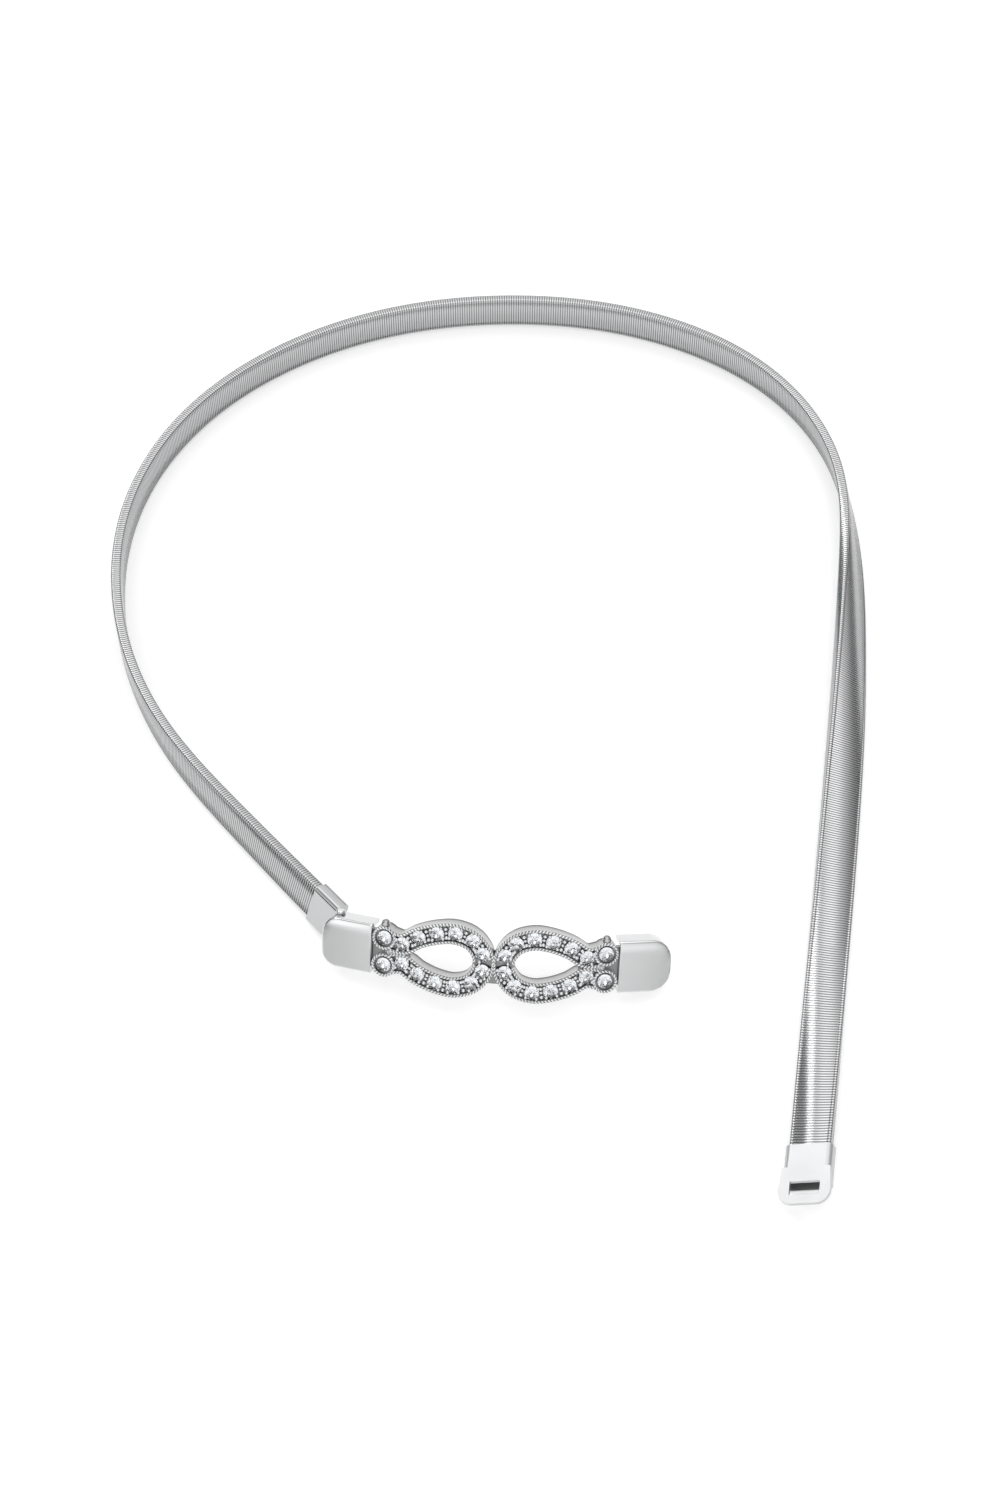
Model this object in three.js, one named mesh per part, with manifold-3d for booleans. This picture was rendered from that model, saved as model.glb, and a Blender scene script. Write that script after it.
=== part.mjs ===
// Stretch belt: a flat coiled-spring band with a two-loop buckle set with round stones.
// The belt lies open on a table. Units are millimetres, +Z is up, and the table is z = 0.
import * as THREE from "three";
import { ConvexGeometry } from "three/addons/geometries/ConvexGeometry.js";
import { mergeVertices } from "three/addons/utils/BufferGeometryUtils.js";
import Module from "manifold-3d";

const wasm = await Module();
wasm.setup();
const { Manifold, Mesh: ManifoldMesh } = wasm;
const degrees = Math.PI / 180;

// Band: a flattened coil of steel ribbon, drawn here as its hollow envelope
const bandLength = 638;
const bandWidth = 10;
const bandThickness = 2.75;
const bandEdgeRadius = 1.15;
const bandWall = 0.7;
const bandSteps = 92;
const bandInClip = 7.4;
const bandInBox = 5.5;

// How the band lies: its first heading in plan, and the length over which bends blend
const firstHeading = 132;
const firstLean = 24;
const bendBlend = 28;
const clipRiseShare = 0.13;
const boxRiseShare = 0.12;

// One row for each stretch of the band: its share of the length, how far it turns in plan,
// and how far the top edge leans in over the loop at its end (90 is flat, outer face up)
const stretches = [
  { share: 0.0865, turn: -2, lean: 11 },
  { share: 0.05, turn: -15, lean: 1 },
  { share: 0.0805, turn: -25.5, lean: 0 },
  { share: 0.1205, turn: -48, lean: 0 },
  { share: 0.1, turn: -33, lean: 0 },
  { share: 0.06, turn: -16.5, lean: 0 },
  { share: 0.07, turn: -26, lean: 0 },
  { share: 0.1105, turn: -55, lean: 14 },
  { share: 0.04, turn: -6, lean: 38 },
  { share: 0.1, turn: -3.2, lean: 74 },
  { share: 0.09, turn: -1, lean: 90 },
  { share: 0.092, turn: 0, lean: 116 },
];

// Folded sheet fittings on the two ends of the band
const sheet = 0.4;
const fitGap = 0.3;
const sleeveLength = 9.8;
const plateLength = 15;
const plateHalfWidth = 6.2;
const plateThickness = 0.9;
const plateCornerRadius = 3.4;
const slotWidth = 7.2;
const slotLength = 3.3;
const slotFromEnd = 3.9;

// Hinge between the band's clip and the buckle
const pinRadius = 0.6;
const pinHeadRadius = 1.3;
const pinHeadHeight = 0.6;
const knuckleWall = 0.7;
const pinReach = 4.8;
const knuckleHalfLength = 4.3;
const knuckleOffset = 2.8;
const webThickness = 1.3;
const webHalfHeight = 2.4;

// Buckle: bowed round the body, leaning back on the table
const buckleBow = 120;
const buckleLean = 36;
const buckleHeading = -5;
const capLength = 13;
const hingeCapHalf = 6.2;
const hookCapHalf = 6.5;
const capDepth = 5.4;
const capWall = 1;
const hingeCapCorner = 4;
const hookCapCorner = 5;
const capEdgeBevel = 0.35;
const pinFromCapEnd = 3.2;
const pinDepth = 3.6;
const earRadius = 1.5;

// Loops: a channel between two raised rims, with a row of stones
const loopReach = 26.8;
const loopRise = 6.8;
const strandWidth = 5.2;
const rimWidth = 0.75;
const channelDepth = 0.9;
const castingDepth = 3.4;
const bossRadius = 3;
const knobRadius = 1.1;
const knobSink = 0.7;
const strandSteps = 26;
const seamGap = 0.3;
const tabThickness = 1.1;
const tabLength = 3.6;
const linkThickness = 1.2;
const linkHalfLength = 3.4;
const linkHeight = 6.4;
const linkCentre = -2.6;

// One row for each stone of a strand, from the boss to the inner end of the loop:
// its place along the buckle as a share of loopReach, and off the centre line of loopRise
const stoneRow = [
  { along: 1, out: 0.51 },
  { along: 0.83, out: 0.37 },
  { along: 0.685, out: 0.69 },
  { along: 0.52, out: 0.92 },
  { along: 0.353, out: 1 },
  { along: 0.194, out: 0.79 },
  { along: 0.1, out: 0.31 },
];
const loopInnerEnd = 0.09;

// Stones
const stoneRadius = 1.5;
const stoneTableShare = 0.56;
const stoneCrown = 0.55;
const stoneGirdle = 0.15;
const stonePavilion = 1.25;
const stoneSides = 8;
const stoneStandProud = 0.3;
const seatGap = 0.3;

// Hook behind the free cap
const hookWidth = 6.4;
const hookThickness = 1.2;
const hookBaseLength = 7;
const hookBaseThickness = 1;
const hookDrop = 4.4;
const hookTongue = 4;

// Finishes
const steel = { color: 0xc4c6c9, roughness: 0.28, metalness: 1 };
const polish = { color: 0xdadcdf, roughness: 0.1, metalness: 1 };
const castMetal = { color: 0xb9bbbe, roughness: 0.24, metalness: 1 };
const crystal = { color: 0xf2f5f8, roughness: 0.02, metalness: 0 };

const sleeveHalfHeight = bandWidth / 2 + fitGap + sheet;
const sleeveHalfDepth = bandThickness / 2 + fitGap + sheet;
const sleeveEdgeRadius = bandEdgeRadius + fitGap;
const capEnd = loopReach + bossRadius + seamGap + capLength;
const capStart = capEnd - capLength;
const knuckleRadius = pinRadius + fitGap + knuckleWall;

// Booleans on closed meshes
function toSolid(geometry) {
  const bare = geometry.index ? geometry.toNonIndexed() : geometry.clone();
  bare.deleteAttribute("normal");
  bare.deleteAttribute("uv");
  const merged = mergeVertices(bare, 1e-4);
  return new Manifold(new ManifoldMesh({
    numProp: 3,
    vertProperties: new Float32Array(merged.attributes.position.array),
    triVerts: new Uint32Array(merged.index.array),
  }));
}

function toGeometry(solid) {
  const mesh = solid.getMesh();
  const geometry = new THREE.BufferGeometry();
  geometry.setAttribute("position", new THREE.BufferAttribute(new Float32Array(mesh.vertProperties), 3));
  geometry.setIndex(new THREE.BufferAttribute(new Uint32Array(mesh.triVerts), 1));
  geometry.computeVertexNormals();
  return geometry;
}

function join(geometries) {
  return geometries.map(toSolid).reduce((sum, solid) => sum.add(solid));
}

function cut(solid, geometries) {
  return geometries.map(toSolid).reduce((rest, tool) => rest.subtract(tool), solid);
}

function piece(name, geometry, finish) {
  const mesh = new THREE.Mesh(geometry, new THREE.MeshStandardMaterial(finish));
  mesh.name = name;
  return mesh;
}

function block(xRange, yRange, zRange) {
  const box = new THREE.BoxGeometry(
    xRange[1] - xRange[0], yRange[1] - yRange[0], zRange[1] - zRange[0],
  );
  box.translate(
    (xRange[0] + xRange[1]) / 2, (yRange[0] + yRange[1]) / 2, (zRange[0] + zRange[1]) / 2,
  );
  return box;
}

// A rectangle with rounded corners
function roundedRectangle(halfX, halfY, radius) {
  const outline = new THREE.Shape();
  const [x, y] = [halfX - radius, halfY - radius];
  outline.moveTo(halfX, -y);
  outline.lineTo(halfX, y);
  outline.absarc(x, y, radius, 0, Math.PI / 2, false);
  outline.lineTo(-x, halfY);
  outline.absarc(-x, y, radius, Math.PI / 2, Math.PI, false);
  outline.lineTo(-halfX, -y);
  outline.absarc(-x, -y, radius, Math.PI, Math.PI * 1.5, false);
  outline.lineTo(x, -halfY);
  outline.absarc(x, -y, radius, Math.PI * 1.5, Math.PI * 2, false);
  return outline;
}

// The band's route. A point carries a frame: u up the band's width, v into the loop, t along it.
function blend(values, distance) {
  const samples = 9;
  let sum = 0;
  for (let k = 0; k < samples; k += 1) {
    const place = distance + bendBlend * (k / (samples - 1) - 0.5);
    sum += lineThrough(values, THREE.MathUtils.clamp(place, 0, bandLength));
  }
  return sum / samples;
}

function lineThrough(values, distance) {
  let start = 0;
  for (let k = 0; k < stretches.length; k += 1) {
    const length = stretches[k].share * bandLength;
    if (distance <= start + length || k === stretches.length - 1) {
      return THREE.MathUtils.lerp(values[k], values[k + 1], (distance - start) / length);
    }
    start += length;
  }
  return values.at(-1);
}

const headings = [firstHeading];
const leans = [firstLean];
for (const row of stretches) {
  headings.push(headings.at(-1) + row.turn);
  leans.push(row.lean);
}

// How high the middle of a rounded strip is when it leans and just touches the table
function standHeight(lean, halfHeight, halfDepth, radius) {
  return (halfHeight - radius) * Math.abs(Math.cos(lean))
    + (halfDepth - radius) * Math.abs(Math.sin(lean)) + radius;
}

function bandHeight(lean) {
  return standHeight(lean, bandWidth / 2, bandThickness / 2, bandEdgeRadius);
}

function sleeveRise(lean) {
  return standHeight(lean, sleeveHalfHeight, sleeveHalfDepth, sleeveEdgeRadius) - bandHeight(lean);
}

function bandFrame(distance) {
  const heading = blend(headings, distance) * degrees;
  const lean = blend(leans, distance) * degrees;
  const inward = new THREE.Vector3(Math.sin(heading), -Math.cos(heading), 0);
  const up = new THREE.Vector3(0, 0, 1);
  return {
    lean,
    u: up.clone().multiplyScalar(Math.cos(lean)).addScaledVector(inward, Math.sin(lean)),
    v: inward.clone().multiplyScalar(Math.cos(lean)).addScaledVector(up, -Math.sin(lean)),
    t: new THREE.Vector3(Math.cos(heading), Math.sin(heading), 0),
  };
}

function fade(distance, run) {
  return 1 - THREE.MathUtils.smoothstep(distance, 0, run);
}

class BandRoute extends THREE.Curve {
  constructor(startLift) {
    super();
    this.points = [];
    const steps = 4 * bandSteps;
    const place = new THREE.Vector3();
    for (let k = 0; k <= steps; k += 1) {
      const distance = (bandLength * k) / steps;
      if (k > 0) {
        place.addScaledVector(bandFrame(distance - bandLength / steps / 2).t, bandLength / steps);
      }
      const lean = bandFrame(distance).lean;
      const lift = startLift * fade(distance, clipRiseShare * bandLength)
        + sleeveRise(lean) * fade(bandLength - distance, boxRiseShare * bandLength);
      const height = bandHeight(lean) + lift;
      this.points.push(new THREE.Vector3(place.x, place.y, height));
    }
  }

  getPoint(share, target = new THREE.Vector3()) {
    const place = share * (this.points.length - 1);
    const k = Math.min(Math.floor(place), this.points.length - 2);
    return target.copy(this.points[k]).lerp(this.points[k + 1], place - k);
  }

  getPointAt(share, target) {
    return this.getPoint(share, target);
  }

  computeFrenetFrames(segments) {
    const frames = { tangents: [], normals: [], binormals: [] };
    for (let k = 0; k <= segments; k += 1) {
      const frame = bandFrame((bandLength * k) / segments);
      frames.tangents.push(frame.t);
      frames.normals.push(frame.u);
      frames.binormals.push(frame.v);
    }
    return frames;
  }
}

function stretchBand(route) {
  const section = roundedRectangle(bandWidth / 2, bandThickness / 2, bandEdgeRadius);
  const [x, y] = [bandWidth / 2 - bandWall, bandThickness / 2 - bandWall];
  section.holes.push(new THREE.Path([
    new THREE.Vector2(x, y), new THREE.Vector2(-x, y), new THREE.Vector2(-x, -y), new THREE.Vector2(x, -y),
  ]));
  const tube = new THREE.ExtrudeGeometry(section, {
    steps: bandSteps, extrudePath: route, curveSegments: 3,
  });
  return piece("stretch_band", tube, steel);
}

// A group at one end of the band, with x up the band, y into the loop and z along it
function endGroup(route, distance) {
  const frame = bandFrame(distance);
  const group = new THREE.Group();
  group.quaternion.setFromRotationMatrix(new THREE.Matrix4().makeBasis(frame.u, frame.v, frame.t));
  group.position.copy(route.getPoint(distance / bandLength));
  return group;
}

function prism(shape, from, to, curveSegments = 4) {
  const geometry = new THREE.ExtrudeGeometry(shape, {
    depth: to - from, bevelEnabled: false, curveSegments,
  });
  geometry.translate(0, 0, from);
  return geometry;
}

// A round bar between two points
function bar(from, to, radius, sides) {
  const along = to.clone().sub(from);
  const geometry = new THREE.CylinderGeometry(radius, radius, along.length(), sides);
  const turn = new THREE.Quaternion().setFromUnitVectors(
    new THREE.Vector3(0, 1, 0), along.clone().normalize(),
  );
  geometry.applyQuaternion(turn);
  const middle = from.clone().add(to).multiplyScalar(0.5);
  geometry.translate(middle.x, middle.y, middle.z);
  return geometry;
}

// Clip: a sleeve folded round the band's end, with a knuckle rolled round the hinge pin
function bandEndClip(pinDirection) {
  const back = -(fitGap + sheet);
  const sleeve = prism(
    roundedRectangle(sleeveHalfHeight, sleeveHalfDepth, sleeveEdgeRadius), back, bandInClip,
  );
  const cavity = prism(
    roundedRectangle(bandWidth / 2 + fitGap, bandThickness / 2 + fitGap, bandEdgeRadius),
    -fitGap, bandInClip + sheet,
  );
  const pinPlace = new THREE.Vector3(0, -knuckleOffset, -pinReach);
  const half = pinDirection.clone().multiplyScalar(knuckleHalfLength);
  const across = new THREE.Vector3(0, 0, 1).cross(pinDirection).normalize();
  const corners = [];
  for (const end of [-1, 1]) {
    for (const side of [-1, 1]) {
      corners.push(pinPlace.clone().addScaledVector(half, end)
        .addScaledVector(across, (side * webThickness) / 2));
      corners.push(new THREE.Vector3(
        end * webHalfHeight,
        -sleeveHalfDepth + sheet + (side * sheet) / 2,
        back + sheet / 2,
      ));
    }
  }
  const knuckle = bar(pinPlace.clone().sub(half), pinPlace.clone().add(half), knuckleRadius, 16);
  const bore = bar(
    pinPlace.clone().addScaledVector(half, -2), pinPlace.clone().addScaledVector(half, 2),
    pinRadius + fitGap, 12,
  );
  const shell = cut(toSolid(sleeve), [cavity]);
  const body = shell.add(toSolid(new ConvexGeometry(corners))).add(toSolid(knuckle));
  return piece("band_end_clip", toGeometry(cut(body, [bore])), polish);
}

// Slot box: a sleeve folded round the band, whose outer face runs on as a rounded plate. The
// slot for the hook is cut through that face.
function slotEndBox() {
  const mouth = -bandInBox;
  const end = mouth + plateLength;
  const side = end - plateCornerRadius;
  const middle = plateHalfWidth - plateCornerRadius;
  const outline = new THREE.Shape();
  outline.moveTo(-sleeveHalfHeight, fitGap);
  outline.lineTo(sleeveHalfHeight, fitGap);
  outline.lineTo(plateHalfWidth, side);
  outline.absarc(middle, side, plateCornerRadius, 0, Math.PI / 2);
  outline.absarc(-middle, side, plateCornerRadius, Math.PI / 2, Math.PI);
  const plate = prism(outline, sleeveHalfDepth - plateThickness, sleeveHalfDepth, 5);
  plate.rotateX(Math.PI / 2);
  const sleeve = prism(
    roundedRectangle(sleeveHalfHeight, sleeveHalfDepth, sleeveEdgeRadius), mouth, mouth + sleeveLength,
  );
  const cavity = prism(
    roundedRectangle(bandWidth / 2 + fitGap, bandThickness / 2 + fitGap, bandEdgeRadius),
    mouth - sheet, mouth + sleeveLength + sheet,
  );
  const slotMiddle = end - slotFromEnd;
  const slot = block(
    [-slotWidth / 2, slotWidth / 2], [-sleeveHalfDepth - sheet, 0],
    [slotMiddle - slotLength / 2, slotMiddle + slotLength / 2],
  );
  const sleeveWalls = cut(toSolid(sleeve), [cavity]);
  return piece("slot_end_box", toGeometry(cut(sleeveWalls.add(toSolid(plate)), [slot])), polish);
}

// A mirrored geometry with its faces turned outwards again
function flip(geometry) {
  const soup = geometry.index ? geometry.toNonIndexed() : geometry;
  const place = soup.attributes.position;
  const corner = new THREE.Vector3();
  for (let k = 0; k < place.count; k += 3) {
    corner.fromBufferAttribute(place, k);
    place.setXYZ(k, place.getX(k + 1), place.getY(k + 1), place.getZ(k + 1));
    place.setXYZ(k + 1, corner.x, corner.y, corner.z);
  }
  return soup;
}

// Buckle frame: x along the buckle, z up it, and the front faces -y. Flat pieces are drawn with
// x along, y up and z to the front, and bowed round a vertical cylinder behind the buckle.
function bowPoint(along, up, front) {
  const angle = along / buckleBow;
  const radius = buckleBow + front;
  return new THREE.Vector3(radius * Math.sin(angle), buckleBow - radius * Math.cos(angle), up);
}

function bow(geometry) {
  const place = geometry.attributes.position;
  for (let k = 0; k < place.count; k += 1) {
    const point = bowPoint(place.getX(k), place.getY(k), place.getZ(k));
    place.setXYZ(k, point.x, point.y, point.z);
  }
  geometry.computeVertexNormals();
  return geometry;
}

function mirrored(geometry, alongSide, upSide) {
  const copy = geometry.clone();
  copy.scale(alongSide, upSide, 1);
  return alongSide * upSide < 0 ? flip(copy) : copy;
}

// The centre line of a strand, from the boss through each stone to the loop's inner end
class StrandLine extends THREE.CatmullRomCurve3 {
  constructor() {
    const points = stoneRow.map(
      (row) => new THREE.Vector3(row.along * loopReach, row.out * loopRise, 0),
    );
    points.push(new THREE.Vector3(loopInnerEnd * loopReach, 0, 0));
    const back = points.slice(-3, -1).reverse();
    points.push(...back.map((point) => new THREE.Vector3(point.x, -point.y, 0)));
    super(points, false, "centripetal");
    this.lastShare = (points.length - 3) / (points.length - 1);
  }

  getSpacedPoints(segments) {
    return Array.from({ length: segments + 1 }, (_, k) => this.getPoint((this.lastShare * k) / segments));
  }

  computeFrenetFrames(segments) {
    const frames = { tangents: [], normals: [], binormals: [] };
    for (let k = 0; k <= segments; k += 1) {
      const tangent = this.getTangent((this.lastShare * k) / segments);
      if (k === segments) {
        tangent.set(0, -1, 0);
      }
      frames.tangents.push(tangent);
      frames.normals.push(new THREE.Vector3(-tangent.y, tangent.x, 0));
      frames.binormals.push(new THREE.Vector3(0, 0, 1));
    }
    return frames;
  }
}

function channelSection() {
  const half = strandWidth / 2;
  const inner = half - rimWidth;
  const section = new THREE.Shape();
  section.moveTo(-half, -castingDepth);
  section.lineTo(half, -castingDepth);
  section.lineTo(half, 0);
  section.lineTo(inner, 0);
  section.lineTo(inner, -channelDepth);
  section.lineTo(-inner, -channelDepth);
  section.lineTo(-inner, 0);
  section.lineTo(-half, 0);
  return section;
}

// Boss: the curled end of a strand, a round dish with a raised rim
function boss() {
  const disc = new THREE.LatheGeometry([
    new THREE.Vector2(0, -castingDepth),
    new THREE.Vector2(bossRadius, -castingDepth),
    new THREE.Vector2(bossRadius, 0),
    new THREE.Vector2(bossRadius - rimWidth, 0),
    new THREE.Vector2(bossRadius - rimWidth, -channelDepth),
    new THREE.Vector2(0, -channelDepth),
  ], 20);
  disc.rotateX(Math.PI / 2);
  disc.translate(loopReach, stoneRow[0].out * loopRise, 0);
  return disc;
}

function discTool() {
  const disc = new THREE.CylinderGeometry(bossRadius - rimWidth, bossRadius - rimWidth, 2 * channelDepth, 20);
  disc.rotateX(Math.PI / 2);
  disc.translate(loopReach, stoneRow[0].out * loopRise, 0);
  return disc;
}

function seatTool(row) {
  const seat = new THREE.LatheGeometry([
    new THREE.Vector2(0, -stonePavilion - stoneGirdle - seatGap),
    new THREE.Vector2(stoneRadius + seatGap, -stoneGirdle - seatGap),
    new THREE.Vector2(stoneRadius + seatGap, stoneCrown + castingDepth),
    new THREE.Vector2(0, stoneCrown + castingDepth),
  ], 12);
  seat.rotateX(Math.PI / 2);
  seat.translate(row.along * loopReach, row.out * loopRise, stoneStandProud - stoneCrown);
  return seat;
}

function buckleCasting() {
  const line = new StrandLine();
  const strand = new THREE.ExtrudeGeometry(channelSection(), { steps: strandSteps, extrudePath: line });
  const knob = new THREE.SphereGeometry(knobRadius, 12, 8);
  const upper = stoneRow[0].out * loopRise + bossRadius;
  knob.translate(loopReach, upper + knobRadius - knobSink, -knobRadius);
  const quarters = [];
  for (const side of [-1, 1]) {
    for (const up of [-1, 1]) {
      quarters.push(mirrored(strand, side, up), mirrored(boss(), side, up));
    }
    quarters.push(mirrored(knob, side, 1));
  }
  const linkBack = -castingDepth;
  quarters.push(block(
    [-linkHalfLength, linkHalfLength], [linkCentre - linkHeight / 2, linkCentre + linkHeight / 2],
    [linkBack, linkBack + linkThickness],
  ));
  const tabFront = -capWall - fitGap;
  const tabHalf = Math.min(hingeCapHalf, hookCapHalf) - capWall - fitGap;
  for (const side of [-1, 1]) {
    const tab = block(
      [loopReach, capStart + tabLength], [-tabHalf, tabHalf], [tabFront - tabThickness, tabFront],
    );
    quarters.push(mirrored(tab, side, 1));
  }
  const cuts = [];
  for (const side of [-1, 1]) {
    for (const up of [-1, 1]) {
      cuts.push(mirrored(discTool(), side, up));
      cuts.push(...stoneRow.map((row) => mirrored(seatTool(row), side, up)));
    }
  }
  return piece("buckle_loops", bow(toGeometry(cut(join(quarters), cuts))), castMetal);
}

// Stone: a round cut with a table, a crown, a girdle and a pointed back
function stoneShape() {
  const table = stoneRadius * stoneTableShare;
  const cutStone = new THREE.LatheGeometry([
    new THREE.Vector2(0, -stoneGirdle - stonePavilion),
    new THREE.Vector2(stoneRadius, -stoneGirdle),
    new THREE.Vector2(stoneRadius, 0),
    new THREE.Vector2(table, stoneCrown),
    new THREE.Vector2(0, stoneCrown),
  ], stoneSides);
  cutStone.rotateX(Math.PI);
  return cutStone;
}

function stones() {
  const shape = stoneShape();
  const set = [];
  for (const side of [-1, 1]) {
    for (const up of [1, -1]) {
      stoneRow.forEach((row, k) => {
        const along = side * row.along * loopReach;
        const words = [side < 0 ? "left" : "right", up > 0 ? "upper" : "lower", k + 1];
        const stone = piece(`stone_${words.join("_")}`, shape, crystal);
        stone.position.copy(bowPoint(along, up * row.out * loopRise, stoneStandProud - stoneCrown));
        stone.rotation.z = along / buckleBow;
        set.push(stone);
      });
    }
  }
  return set;
}

// Cap outline: square where it meets the loops, rounded at its free end
function capOutline(half, corner, inset) {
  const top = half - inset;
  const end = capEnd - inset;
  const radius = corner - inset;
  const outline = new THREE.Shape();
  outline.moveTo(capStart, -top);
  outline.lineTo(end - radius, -top);
  outline.absarc(end - radius, radius - top, radius, -Math.PI / 2, 0, false);
  outline.absarc(end - radius, top - radius, radius, 0, Math.PI / 2, false);
  outline.lineTo(capStart, top);
  return outline;
}

function capShell(half, corner, hollows) {
  const outer = new THREE.ExtrudeGeometry(capOutline(half, corner, capEdgeBevel), {
    depth: capDepth - 2 * capEdgeBevel, curveSegments: 6,
    bevelSize: capEdgeBevel, bevelThickness: capEdgeBevel, bevelSegments: 2,
  });
  outer.translate(0, 0, capEdgeBevel - capDepth);
  const seam = block(
    [capStart - capLength, capStart], [-2 * half, 2 * half], [-2 * capDepth, capDepth],
  );
  return cut(toSolid(outer), [...hollows, seam]);
}

// A hollow behind the front of a cap, open at the back and at the seam
function capHollow(end, half) {
  return block([capStart - capLength, end], [-half, half], [-2 * capDepth, -capWall]);
}

function freeCap() {
  const inside = capOutline(hookCapHalf, hookCapCorner, capWall);
  const hollow = prism(inside, -2 * capDepth, -capWall, 6);
  const mouth = capHollow(capStart + capWall, hookCapHalf - capWall);
  const shell = capShell(hookCapHalf, hookCapCorner, [hollow, mouth]);
  return piece("cap_hook_end", bow(toGeometry(shell)), polish);
}

// Hinge cap: its end wall is open behind the front, with ears round the hinge pin
function hingeCap() {
  const pinAlong = capEnd - pinFromCapEnd;
  const opening = new THREE.Shape();
  opening.moveTo(pinAlong, -2 * capDepth);
  opening.lineTo(capEnd + capWall, -2 * capDepth);
  opening.lineTo(capEnd + capWall, -capWall);
  opening.lineTo(pinAlong + earRadius, -capWall);
  opening.lineTo(pinAlong + earRadius, -pinDepth);
  opening.absarc(pinAlong, -pinDepth, earRadius, 0, -Math.PI / 2, true);
  const tool = prism(opening, -2 * hingeCapHalf, 2 * hingeCapHalf, 5);
  tool.rotateX(Math.PI / 2);
  const hole = bar(
    new THREE.Vector3(pinAlong, -2 * hingeCapHalf, -pinDepth),
    new THREE.Vector3(pinAlong, 2 * hingeCapHalf, -pinDepth), pinRadius + fitGap, 12,
  );
  const hollow = capHollow(pinAlong - earRadius, hingeCapHalf - capWall);
  const between = capHollow(capEnd + capWall, knuckleHalfLength + fitGap);
  const shell = capShell(hingeCapHalf, hingeCapCorner, [hollow, between]);
  const solid = cut(shell, [tool, hole]);
  return piece("cap_hinge_end", bow(mirrored(toGeometry(solid), -1, 1)), polish);
}

const pinLocal = bowPoint(pinFromCapEnd - capEnd, 0, -pinDepth);

function hingePin() {
  const head = hingeCapHalf + fitGap;
  const tip = head + pinHeadHeight;
  const profile = [
    new THREE.Vector2(0, -hingeCapHalf),
    new THREE.Vector2(pinRadius, -hingeCapHalf),
    new THREE.Vector2(pinRadius, head),
    new THREE.Vector2(pinHeadRadius, head),
    new THREE.Vector2(pinHeadRadius, head + pinHeadHeight / 3),
    new THREE.Vector2(pinHeadRadius * 0.7, tip),
    new THREE.Vector2(0, tip),
  ];
  const pin = new THREE.LatheGeometry(profile, 12);
  pin.rotateX(Math.PI / 2);
  pin.translate(pinLocal.x, pinLocal.y, pinLocal.z);
  return piece("hinge_pin", pin, polish);
}

// Hook: a base plate behind the free cap's front, a post and a tongue that enters the slot
function buckleHook() {
  const baseFront = -capWall - fitGap;
  const baseBack = baseFront - hookBaseThickness;
  const baseStart = capStart + tabLength + fitGap;
  const baseHalf = hookCapHalf - capWall - fitGap;
  const tongueFront = baseBack - hookDrop;
  const tongueBack = tongueFront - hookThickness;
  const postEnd = baseStart + hookTongue;
  const base = block([baseStart, baseStart + hookBaseLength], [-hookWidth / 2, hookWidth / 2], [baseBack, baseFront]);
  const bridge = block([baseStart, baseStart + hookThickness * 2], [-baseHalf, baseHalf], [baseBack, baseFront]);
  const post = block([postEnd - hookThickness, postEnd], [-hookWidth / 2, hookWidth / 2], [tongueBack, baseFront]);
  const tongue = block([baseStart, postEnd], [-hookWidth / 2, hookWidth / 2], [tongueBack, tongueFront]);
  return piece("buckle_hook", bow(toGeometry(join([base, bridge, post, tongue]))), polish);
}

// Buckle, with its hinge pin brought to the group's own origin
const buckle = new THREE.Group();
buckle.rotation.set(-buckleLean * degrees, 0, buckleHeading * degrees, "ZXY");
const carrier = new THREE.Group();
carrier.position.copy(pinLocal).negate();
carrier.add(hingeCap(), buckleCasting(), freeCap(), buckleHook(), hingePin(), ...stones());
buckle.add(carrier);
buckle.updateMatrixWorld(true);
const pinHeight = -new THREE.Box3().setFromObject(buckle, true).min.z;
buckle.position.z = pinHeight;
const pinAxis = new THREE.Vector3(0, 0, 1).applyEuler(buckle.rotation);

// Band, starting where its clip reaches the pin, and lifted there to the pin's height
const start = bandFrame(0);
const bandStart = start.t.clone().multiplyScalar(pinReach).addScaledVector(start.v, knuckleOffset);
const route = new BandRoute(pinHeight + bandStart.z - bandHeight(start.lean));
const clipEnd = endGroup(route, 0);
clipEnd.add(bandEndClip(pinAxis.clone().applyQuaternion(clipEnd.quaternion.clone().invert())));
const boxEnd = endGroup(route, bandLength);
boxEnd.add(slotEndBox());
buckle.position.x = -bandStart.x;
buckle.position.y = -bandStart.y;

const belt = new THREE.Group();
belt.add(stretchBand(route), clipEnd, boxEnd, buckle);
belt.updateMatrixWorld(true);
const footprint = new THREE.Box3().setFromObject(belt, true);
const middle = footprint.getCenter(new THREE.Vector3());
belt.position.set(-middle.x, -middle.y, -footprint.min.z);
belt.updateMatrixWorld(true);

export default belt;
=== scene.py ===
import math

import bmesh
import bpy
from mathutils import Matrix, Vector


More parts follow.
